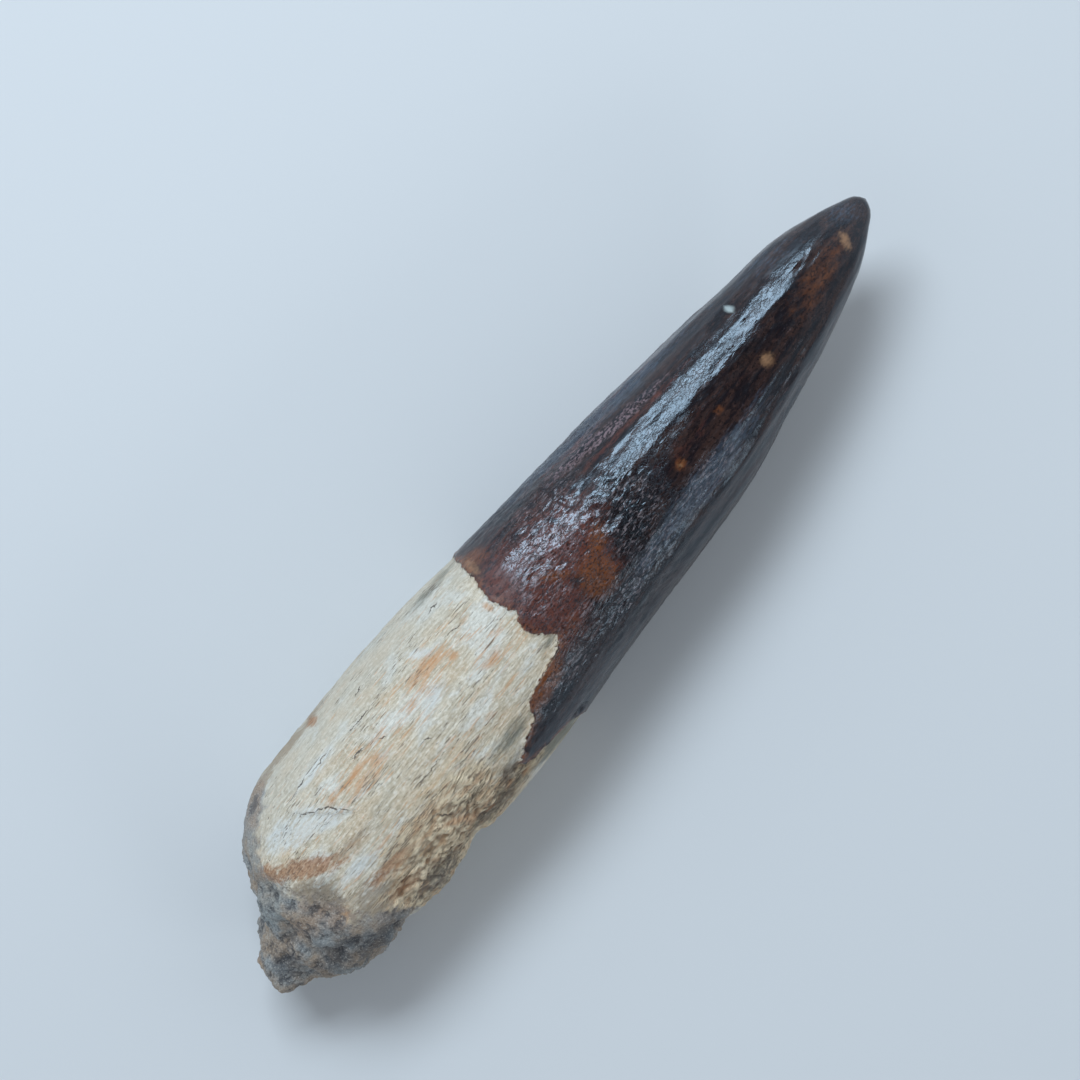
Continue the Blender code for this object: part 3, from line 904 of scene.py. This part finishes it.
def ring_ways():
    """Where the rings of points are: closest on the root and its broken end."""
    places = [0.0]
    for end, count in RING_PLAN:
        last = section_knots()[-1] if end == LENGTH else way_at(end)
        places.extend(np.linspace(places[-1], last, count + 1)[1:])
    return np.array(places)[1:-1]


def bent_ways(ways, degrees):
    """The rings bent so that those near the enamel's edge follow it."""
    pull = bump(np.abs(ways - way_at(EDGE_MIDDLE)) - EDGE_CORE, EDGE_REACH)
    return ways + pull * (edge_place(ENAMEL_EDGE, degrees) - EDGE_MIDDLE)


def tooth_faces(rings):
    """Faces between neighbouring rings of points, and a fan at each end."""
    faces = []
    for i in range(rings - 1):
        row = 1 + i * SIDES
        for k in range(SIDES):
            after = (k + 1) % SIDES
            faces.append((row + k, row + SIDES + k, row + SIDES + after, row + after))
    last_row = 1 + (rings - 1) * SIDES
    last = last_row + SIDES
    for k in range(SIDES):
        after = (k + 1) % SIDES
        faces.append((0, 1 + k, 1 + after))
        faces.append((last, last_row + after, last_row + k))
    return faces


def tooth_mesh():
    """The tooth's mesh: rings of points joined by faces, closed by a fan at each end."""
    degrees = 270.0 + np.arange(SIDES) * 360.0 / SIDES
    ring_way, ring_degrees = np.meshgrid(ring_ways(), degrees, indexing="ij")
    ring_way = bent_ways(ring_way, ring_degrees)
    ends = section_knots()[[0, -1]]
    way = np.concatenate([ends[:1], ring_way.ravel(), ends[1:]])
    angle = np.concatenate([[270.0], ring_degrees.ravel(), [270.0]])
    points, facts = tooth_surface(way, angle)
    points = (points - np.array([LENGTH / 2.0, 0.0, 0.0])) * MM

    mesh = bpy.data.meshes.new(TOOTH_NAME)
    mesh.from_pydata(points.tolist(), [], tooth_faces(len(ring_way)))
    for name, values in facts.items():
        layer = mesh.attributes.new(name, "FLOAT", "POINT")
        layer.data.foreach_set("value", values.astype(np.float32))
    mesh.shade_smooth()
    mesh.update()
    return mesh


def linear(red, green, blue):
    """A colour given as on a screen, from 0 to 255, in the renderer's own units."""
    parts = []
    for part in (red, green, blue):
        share = part / 255.0
        parts.append(share / 12.92 if share <= 0.04045 else ((share + 0.055) / 1.055) ** 2.4)
    return (*parts, 1.0)


class Graph:
    """Short calls that add shader nodes to a new material or to the surroundings."""

    def __init__(self, owner):
        owner.use_nodes = True
        self.owner = owner
        self.tree = owner.node_tree
        self.shader = self.tree.nodes.get("Principled BSDF")

    def put(self, socket, value):
        if isinstance(value, bpy.types.NodeSocket):
            self.tree.links.new(value, socket)
        else:
            socket.default_value = value

    def math(self, operation, a, b=0.0):
        node = self.tree.nodes.new("ShaderNodeMath")
        node.operation = operation
        self.put(node.inputs[0], a)
        self.put(node.inputs[1], b)
        return node.outputs[0]

    def add(self, a, b):
        return self.math("ADD", a, b)

    def times(self, a, b):
        return self.math("MULTIPLY", a, b)

    def step(self, value, low, high, out_low=0.0, out_high=1.0):
        """A smooth change from out_low to out_high as the value goes from low to high."""
        node = self.tree.nodes.new("ShaderNodeMapRange")
        node.interpolation_type = "SMOOTHSTEP"
        self.put(node.inputs["Value"], value)
        node.inputs["From Min"].default_value = low
        node.inputs["From Max"].default_value = high
        node.inputs["To Min"].default_value = out_low
        node.inputs["To Max"].default_value = out_high
        return node.outputs["Result"]

    def mix(self, share, a, b):
        """Colour a where the share is 0 and colour b where it is 1."""
        node = self.tree.nodes.new("ShaderNodeMix")
        node.data_type = "RGBA"
        self.put(node.inputs[0], share)
        self.put(node.inputs[6], a)
        self.put(node.inputs[7], b)
        return node.outputs[2]

    def blend(self, share, a, b):
        """Number a where the share is 0 and number b where it is 1."""
        node = self.tree.nodes.new("ShaderNodeMix")
        node.data_type = "FLOAT"
        self.put(node.inputs[0], share)
        self.put(node.inputs[2], a)
        self.put(node.inputs[3], b)
        return node.outputs[0]

    def attribute(self, name):
        node = self.tree.nodes.new("ShaderNodeAttribute")
        node.attribute_name = name
        return node.outputs["Fac"]

    def place(self, sizes):
        """Coordinates on the tooth in which one unit is this many millimetres along X, Y and Z."""
        where = self.tree.nodes.new("ShaderNodeTexCoord")
        node = self.tree.nodes.new("ShaderNodeVectorMath")
        node.operation = "MULTIPLY"
        self.put(node.inputs[0], where.outputs["Object"])
        node.inputs[1].default_value = [1.0 / (MM * size) for size in sizes]
        return node.outputs[0]

    def noise(self, sizes, detail=2.0, roughness=0.5, distortion=0.0):
        """Noise about 0.5 with lumps of these sizes, in millimetres."""
        node = self.tree.nodes.new("ShaderNodeTexNoise")
        self.put(node.inputs["Vector"], self.place(sizes))
        node.inputs["Scale"].default_value = 1.0
        node.inputs["Detail"].default_value = detail
        node.inputs["Roughness"].default_value = roughness
        node.inputs["Distortion"].default_value = distortion
        return node.outputs["Fac"]

    def mark(self, name, sizes, low=0.22, high=0.90, spread=1.3):
        """A mark whose soft edge is broken up by noise of these sizes."""
        rough = self.add(self.noise(sizes, 4.0, 0.6), -0.5)
        return self.step(self.add(self.attribute(name), self.times(rough, spread)), low, high)

    def over(self, colour, share, strength, other):
        """The other colour laid over this one where the share is high."""
        return self.mix(self.times(share, strength), colour, linear(*other))


def seen_place(g):
    """The place as seen from above, in millimetres, moved about a little by noise."""
    wobble = g.noise((0.7, 0.5, 0.5), 3.0, 0.6)
    other = g.noise((0.5, 0.7, 0.7), 3.0, 0.6)
    node = g.tree.nodes.new("ShaderNodeCombineXYZ")
    g.put(node.inputs["X"], g.add(g.attribute("seen_along"), g.times(g.add(wobble, -0.5), 0.7)))
    g.put(node.inputs["Y"], g.add(g.attribute("seen_left"), g.times(g.add(other, -0.5), 0.7)))
    return node.outputs["Vector"]


def crack_lines(g):
    """1 in the thin dark cracks of the root's upper side."""
    place = seen_place(g)
    share = 0.0
    for along, left, half_length, half_width, tilt in CRACKS:
        node = g.tree.nodes.new("ShaderNodeMapping")
        node.vector_type = "TEXTURE"
        g.put(node.inputs["Vector"], place)
        node.inputs["Location"].default_value = (along, left, 0.0)
        node.inputs["Rotation"].default_value = (0.0, 0.0, math.radians(tilt))
        node.inputs["Scale"].default_value = (half_length, half_width, 1.0)
        length = g.tree.nodes.new("ShaderNodeVectorMath")
        length.operation = "LENGTH"
        g.put(length.inputs[0], node.outputs["Vector"])
        share = g.math("MAXIMUM", share, g.step(length.outputs["Value"], 1.15, 0.45))
    return g.times(share, g.attribute("upper"))


def root_colour(g):
    """Cream bone with short fibres, pale and orange patches and thin dark lines."""
    fibres = g.noise((1.5, 0.20, 0.20), 4.0, 0.62)
    clouds = g.noise((4.2, 2.2, 2.2), 3.0)
    mottles = g.noise((0.38, 0.24, 0.24), 3.0, 0.6)
    streaky = g.step(fibres, 0.36, 0.56, 0.35, 1.0)
    colour = g.mix(g.step(fibres, 0.34, 0.66), linear(180, 168, 146), linear(217, 208, 190))
    colour = g.over(colour, g.step(clouds, 0.48, 0.68), 0.5, (206, 182, 150))
    colour = g.over(colour, g.step(clouds, 0.48, 0.36), 0.6, (214, 216, 212))
    colour = g.over(colour, g.step(mottles, 0.50, 0.66), 0.40, (166, 152, 128))
    colour = g.over(colour, g.step(mottles, 0.48, 0.34), 0.40, (238, 234, 224))
    colour = g.over(colour, g.attribute("left_side"), 0.50, (176, 174, 165))
    colour = g.over(colour, warm_streaks(g), 0.60, (198, 148, 104))
    colour = g.over(colour, g.mark("grey", (1.6, 0.4, 0.4)), 0.80, (108, 108, 96))
    colour = g.over(colour, g.mark("brown", (0.8, 0.4, 0.4), 0.22, 0.90, 1.9), 0.75, (148, 132, 112))
    colour = g.over(colour, g.times(g.mark("pale", (2.2, 0.35, 0.35)), streaky), 0.70, (208, 213, 213))
    colour = g.over(colour, g.times(g.mark("orange", (1.5, 0.30, 0.30)), streaky), 0.75, (190, 138, 90))
    rust = g.mark("rust", (0.9, 0.3, 0.3), 0.22, 0.95, 1.9)
    colour = g.over(colour, rust, 0.80, (166, 122, 86))
    colour = g.over(colour, g.times(rust, g.step(mottles, 0.46, 0.60)), 0.60, (122, 88, 64))
    return thin_lines(g, eroded_colour(g, colour, g.attribute("fine")))


def warm_streaks(g):
    """Thin orange streaks along the fibres, mostly inside the warm patches."""
    streaks = g.noise((2.6, 0.22, 0.22), 3.0, 0.6, 0.2)
    amount = g.times(g.attribute("warm"), 0.13)
    return g.step(g.add(streaks, amount), 0.60, 0.74)


def eroded_colour(g, colour, fine):
    """The eroded strip: tan strands, painted lighter where they are raised and dark brown in the gaps
    between them as painted light and shade, starting gradually.
    """
    uneven = g.times(g.add(g.noise((1.4, 0.6, 0.6), 4.0, 0.6), -0.5), 1.6)
    eroded = g.step(g.add(g.attribute("eroded"), uneven), 0.15, 0.80)
    grain = g.times(g.add(g.noise((0.6, 0.25, 0.25), 4.0, 0.65), -0.5), 0.40)
    # Lighter on the raised strands and darker in the low gaps: painted light and shade following the
    # relief.
    height_shading = g.step(g.add(fine, grain), -0.24, 0.10)
    strands = g.mix(height_shading, linear(142, 118, 92), linear(230, 212, 180))
    tint = g.noise((1.8, 0.5, 0.5), 3.0, 0.6)
    strands = g.over(strands, g.step(tint, 0.46, 0.64), 0.60, (190, 146, 104))
    # The dark marks along the lower edge are painted shade here.
    strands = g.over(strands, g.mark("dark", (0.5, 0.3, 0.3), 0.22, 0.90, 1.8), 0.75, (58, 50, 46))
    strands = g.over(strands, g.mark("orange", (1.0, 0.4, 0.4)), 0.6, (176, 126, 86))
    strands = g.over(strands, g.mark("rust", (1.0, 0.4, 0.4)), 0.6, (158, 112, 76))
    return g.mix(g.times(eroded, 0.85), colour, strands)


def thin_lines(g, colour):
    """Short thin dark lines along the fibres, more of them in some places than in others."""
    lines = g.noise((1.7, 0.13, 0.13), 3.0, 0.6, 0.3)
    near = g.noise((4.5, 1.6, 1.6), 2.0)
    amount = g.step(near, 0.40, 0.66, 0.0, 0.10)
    amount = g.add(amount, g.times(g.attribute("eroded"), 0.07))
    amount = g.add(amount, g.times(g.attribute("grey"), 0.04))
    thin = g.step(g.add(lines, amount), 0.65, 0.73)
    colour = g.over(colour, thin, 0.75, (96, 82, 68))
    return g.over(colour, crack_lines(g), 0.88, (74, 62, 52))


def crust_colour(g):
    """Grey and brown sandstone with pale grains, painted darker in its hollows as painted shade."""
    clouds = g.noise((2.4, 2.4, 2.4), 3.0)
    grit = g.noise((0.50, 0.50, 0.50), 4.0, 0.65)
    sand = g.noise((0.17, 0.17, 0.17), 2.0)
    painted_shade_depth = g.add(g.attribute("fine"), g.times(g.add(grit, -0.5), 0.5))
    colour = g.mix(g.step(clouds, 0.36, 0.66), linear(146, 149, 149), linear(162, 145, 127))
    for name, size, strength, other in CRUST_MARKS:
        colour = g.over(colour, g.mark(name, (size, size, size)), strength, other)
    # Darker where the relief is low: painted shade in the hollows.
    colour = g.over(colour, g.step(painted_shade_depth, 0.02, -0.20), 0.75, (68, 67, 70))
    colour = g.over(colour, g.step(sand, 0.54, 0.70), 0.40, (204, 198, 190))
    return g.over(colour, g.step(sand, 0.44, 0.32), 0.40, (74, 72, 74))


def crown_colour(g):
    """Mahogany to black enamel with amber, tan and red marks and a thin amber lower edge, under painted
    reflection, painted pink sheen and painted glints.
    """
    streaks = g.noise((5.0, 0.9, 0.9), 4.0, 0.6, 0.3)
    mottles = g.noise((0.8, 0.45, 0.45), 4.0, 0.65)
    specks = g.noise((0.36, 0.22, 0.22), 3.0, 0.6)
    colour = g.mix(g.step(streaks, 0.38, 0.64), linear(26, 21, 25), linear(54, 38, 34))
    colour = g.over(colour, g.step(mottles, 0.52, 0.70), 0.35, (84, 60, 52))
    # Bluish grey painted over the crown where it would reflect its surroundings: painted reflection.
    colour = g.over(colour, g.mark("painted_reflection", (1.4, 0.24, 0.24), 0.22, 0.90, 2.0), 0.50, (74, 88, 106))
    colour = g.over(colour, g.mark("red", (1.8, 0.5, 0.5)), 0.80, (104, 60, 50))
    # Pale pink streaks painted where the crown would shine: painted highlight.
    painted_pink_sheen = g.times(g.mark("painted_pink_sheen", (1.6, 0.25, 0.25), 0.22, 0.90, 2.2), g.step(specks, 0.44, 0.60))
    colour = g.over(colour, painted_pink_sheen, 0.60, (146, 124, 130))
    colour = g.over(colour, g.mark("amber", (1.2, 0.6, 0.6), 0.15, 0.95, 1.0), 0.74, (120, 71, 40))
    colour = g.over(colour, g.mark("black", (0.5, 0.4, 0.4)), 0.85, (15, 14, 18))
    rim = g.step(g.attribute("past_enamel"), 1.0, 0.10)
    rim = g.times(rim, g.step(g.noise((0.8, 0.8, 0.8), 3.0), 0.36, 0.60))
    colour = g.over(colour, rim, 0.60, (140, 90, 62))
    colour = g.over(colour, g.step(specks, 0.50, 0.36), 0.70, (22, 16, 18))
    # Pale streaks painted where the glint marks are: painted highlights.
    painted_glint_streaks = g.step(g.noise((0.75, 0.20, 0.20), 3.0, 0.65, 0.6), 0.52, 0.64)
    colour = g.over(colour, g.times(painted_glint_streaks, g.mark("painted_glint", (1.2, 0.5, 0.5))), 0.55, (152, 140, 144))
    return g.over(colour, g.mark("tan", (0.35, 0.25, 0.25), 0.15, 1.0, 1.0), 0.80, (154, 118, 88))


def crackle(g):
    """1 along the thin winding cracks between the enamel's folds."""
    coarse = g.math("ABSOLUTE", g.add(g.noise((1.5, 0.75, 0.75), 2.0, 0.55, 1.4), -0.5))
    small = g.math("ABSOLUTE", g.add(g.noise((0.6, 0.38, 0.38), 2.0, 0.55, 1.0), -0.5))
    lines = g.math("MAXIMUM", g.step(coarse, 0.022, 0.006), g.times(g.step(small, 0.026, 0.006), 0.7))
    return g.times(lines, g.step(g.attribute("wrinkled"), 0.35, 0.95))


def tooth_material():
    """One material for the whole tooth: bone, enamel and crust, each where it belongs."""
    g = Graph(bpy.data.materials.new(TOOTH_NAME))
    ragged = g.times(g.add(g.noise((0.45, 0.35, 0.35), 4.0, 0.65), -0.5), 0.75)
    enamel = g.step(g.add(g.attribute("past_enamel"), ragged), -0.02, 0.12)
    uneven = g.times(g.add(g.noise((0.5, 0.5, 0.5), 4.0, 0.65), -0.5), 1.4)
    crust = g.step(g.add(g.attribute("past_crust"), uneven), 0.6, -0.6)

    chip = g.mark("chip", (0.4, 0.4, 0.4), 0.25, 0.85, 0.4)
    colour = g.mix(crust, root_colour(g), crust_colour(g))
    cracked = crackle(g)
    crown = g.over(crown_colour(g), cracked, 0.70, (16, 12, 15))
    colour = g.mix(enamel, colour, crown)
    colour = g.over(colour, chip, 0.65, (190, 206, 208))
    g.put(g.shader.inputs["Base Color"], colour)

    worn = g.noise((1.2, 0.4, 0.4), 3.0, 0.6)
    glossy = g.step(worn, 0.35, 0.68, *ENAMEL_ROUGHNESS)
    glossy = g.add(glossy, g.times(g.attribute("painted_reflection"), PAINTED_REFLECTION_ROUGHNESS))
    glossy = g.add(glossy, g.times(g.attribute("matt"), MATT_ROUGHNESS))
    glossy = g.blend(cracked, glossy, ENAMEL_CRACK_ROUGHNESS)
    dull = g.blend(crust, ROOT_ROUGHNESS, CRUST_ROUGHNESS)
    g.put(g.shader.inputs["Roughness"], g.blend(enamel, dull, glossy))
    g.put(g.shader.inputs["Coat Weight"], g.times(enamel, COAT_WEIGHT))
    g.shader.inputs["Coat Roughness"].default_value = COAT_ROUGHNESS
    g.shader.inputs["Specular IOR Level"].default_value = SPECULAR_LEVEL
    g.shader.inputs["Specular Tint"].default_value = (*SPECULAR_TINT, 1.0)
    add_fine_relief(g, enamel, crust, cracked)
    return g.owner


def add_fine_relief(g, enamel, crust, cracked):
    """The finest fibres, sand grains and wrinkles, too small for the mesh."""
    fibres = g.times(g.noise((1.4, 0.16, 0.16), 3.0, 0.6), FINE_FIBRES)
    fibres = g.add(fibres, g.times(g.noise((0.35, 0.25, 0.25), 3.0, 0.6), FINE_PITS))
    sand = g.times(g.noise((0.28, 0.28, 0.28), 3.0, 0.6), FINE_SAND)
    folds = g.times(g.noise((0.90, 0.42, 0.42), 1.5, 0.45, 0.8), FINE_FOLDS)
    folds = g.times(folds, g.attribute("wrinkled"))
    scratches = g.times(g.noise((0.34, 0.20, 0.20), 2.0, 0.5), FINE_SCRATCHES)
    folds = g.add(g.add(folds, scratches), g.times(cracked, -FINE_CRACKS))
    height = g.blend(enamel, g.blend(crust, fibres, sand), folds)
    node = g.tree.nodes.new("ShaderNodeBump")
    node.inputs["Strength"].default_value = 1.0
    node.inputs["Distance"].default_value = MM
    g.put(node.inputs["Height"], height)
    g.put(g.shader.inputs["Normal"], node.outputs["Normal"])


def add_tooth():
    mesh = tooth_mesh()
    mesh.materials.append(tooth_material())
    tooth = bpy.data.objects.new(TOOTH_NAME, mesh)
    bpy.context.collection.objects.link(tooth)
    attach(tooth, "root")
    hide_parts("fossil_tooth")


def add_floor():
    half = FLOOR_SIZE / 2.0
    corners = [(-half, -half, 0.0), (half, -half, 0.0), (half, half, 0.0), (-half, half, 0.0)]
    mesh = bpy.data.meshes.new("floor")
    mesh.from_pydata(corners, [], [(0, 1, 2, 3)])
    g = Graph(bpy.data.materials.new("floor"))
    g.shader.inputs["Base Color"].default_value = linear(*FLOOR_COLOUR)
    g.shader.inputs["Roughness"].default_value = FLOOR_ROUGHNESS
    mesh.materials.append(g.owner)
    floor = bpy.data.objects.new("floor", mesh)
    bpy.context.collection.objects.link(floor)


def picture_direction(right, up, towards):
    """A direction in the picture's own terms, turned into the part's."""
    turned = Vector((right, up, towards)).normalized()
    turned.rotate(Euler((0.0, 0.0, CAMERA_TURN)))
    return turned


def add_lights():
    aim = Vector(CAMERA_AIM) * MM
    for name, direction, distance, width, height, power, colour in LIGHTS:
        data = bpy.data.lights.new(name, "AREA")
        data.shape = "RECTANGLE"
        data.size = width
        data.size_y = height
        data.energy = power
        data.color = colour
        lamp = bpy.data.objects.new(name, data)
        towards = picture_direction(*direction)
        lamp.location = aim + towards * distance
        lamp.rotation_euler = (-towards).to_track_quat("-Z", "Y").to_euler()
        lamp.visible_camera = False
        bpy.context.collection.objects.link(lamp)


def add_world():
    """The surroundings, dim overhead and brightest beyond the tooth's two ends."""
    g = Graph(bpy.data.worlds.new("studio"))
    background = g.tree.nodes["Background"]
    background.inputs["Color"].default_value = (*WORLD_COLOUR, 1.0)
    direction = g.tree.nodes.new("ShaderNodeTexCoord")
    parts = g.tree.nodes.new("ShaderNodeSeparateXYZ")
    g.put(parts.inputs[0], direction.outputs["Generated"])
    side = g.step(parts.outputs["Y"], *SIDE_REACH, FAR_SIDE_STRENGTH, WINDOW_SIDE_STRENGTH)
    overhead = g.step(parts.outputs["Z"], *OVERHEAD_HEIGHTS, 1.0, OVERHEAD_SHARE)
    lengthways = g.math("ABSOLUTE", parts.outputs["X"])
    ends = g.step(lengthways, *ENDS_REACH, 0.0, ENDS_STRENGTH)
    g.put(background.inputs["Strength"], g.add(g.times(side, overhead), ends))
    bpy.context.scene.world = g.owner


def add_camera():
    data = bpy.data.cameras.new("camera")
    data.sensor_width = SENSOR_WIDTH
    data.lens = SENSOR_WIDTH * CAMERA_DISTANCE / FRAME_WIDTH
    data.clip_start = CLIP_START * MM
    camera = bpy.data.objects.new("camera", data)
    camera.location = (Vector(CAMERA_AIM) + Vector((0.0, 0.0, CAMERA_DISTANCE))) * MM
    camera.rotation_euler = (0.0, 0.0, CAMERA_TURN)
    bpy.context.collection.objects.link(camera)
    bpy.context.scene.camera = camera


add_tooth()
add_floor()
add_lights()
add_world()
add_camera()
bpy.context.scene.view_settings.view_transform = "Standard"
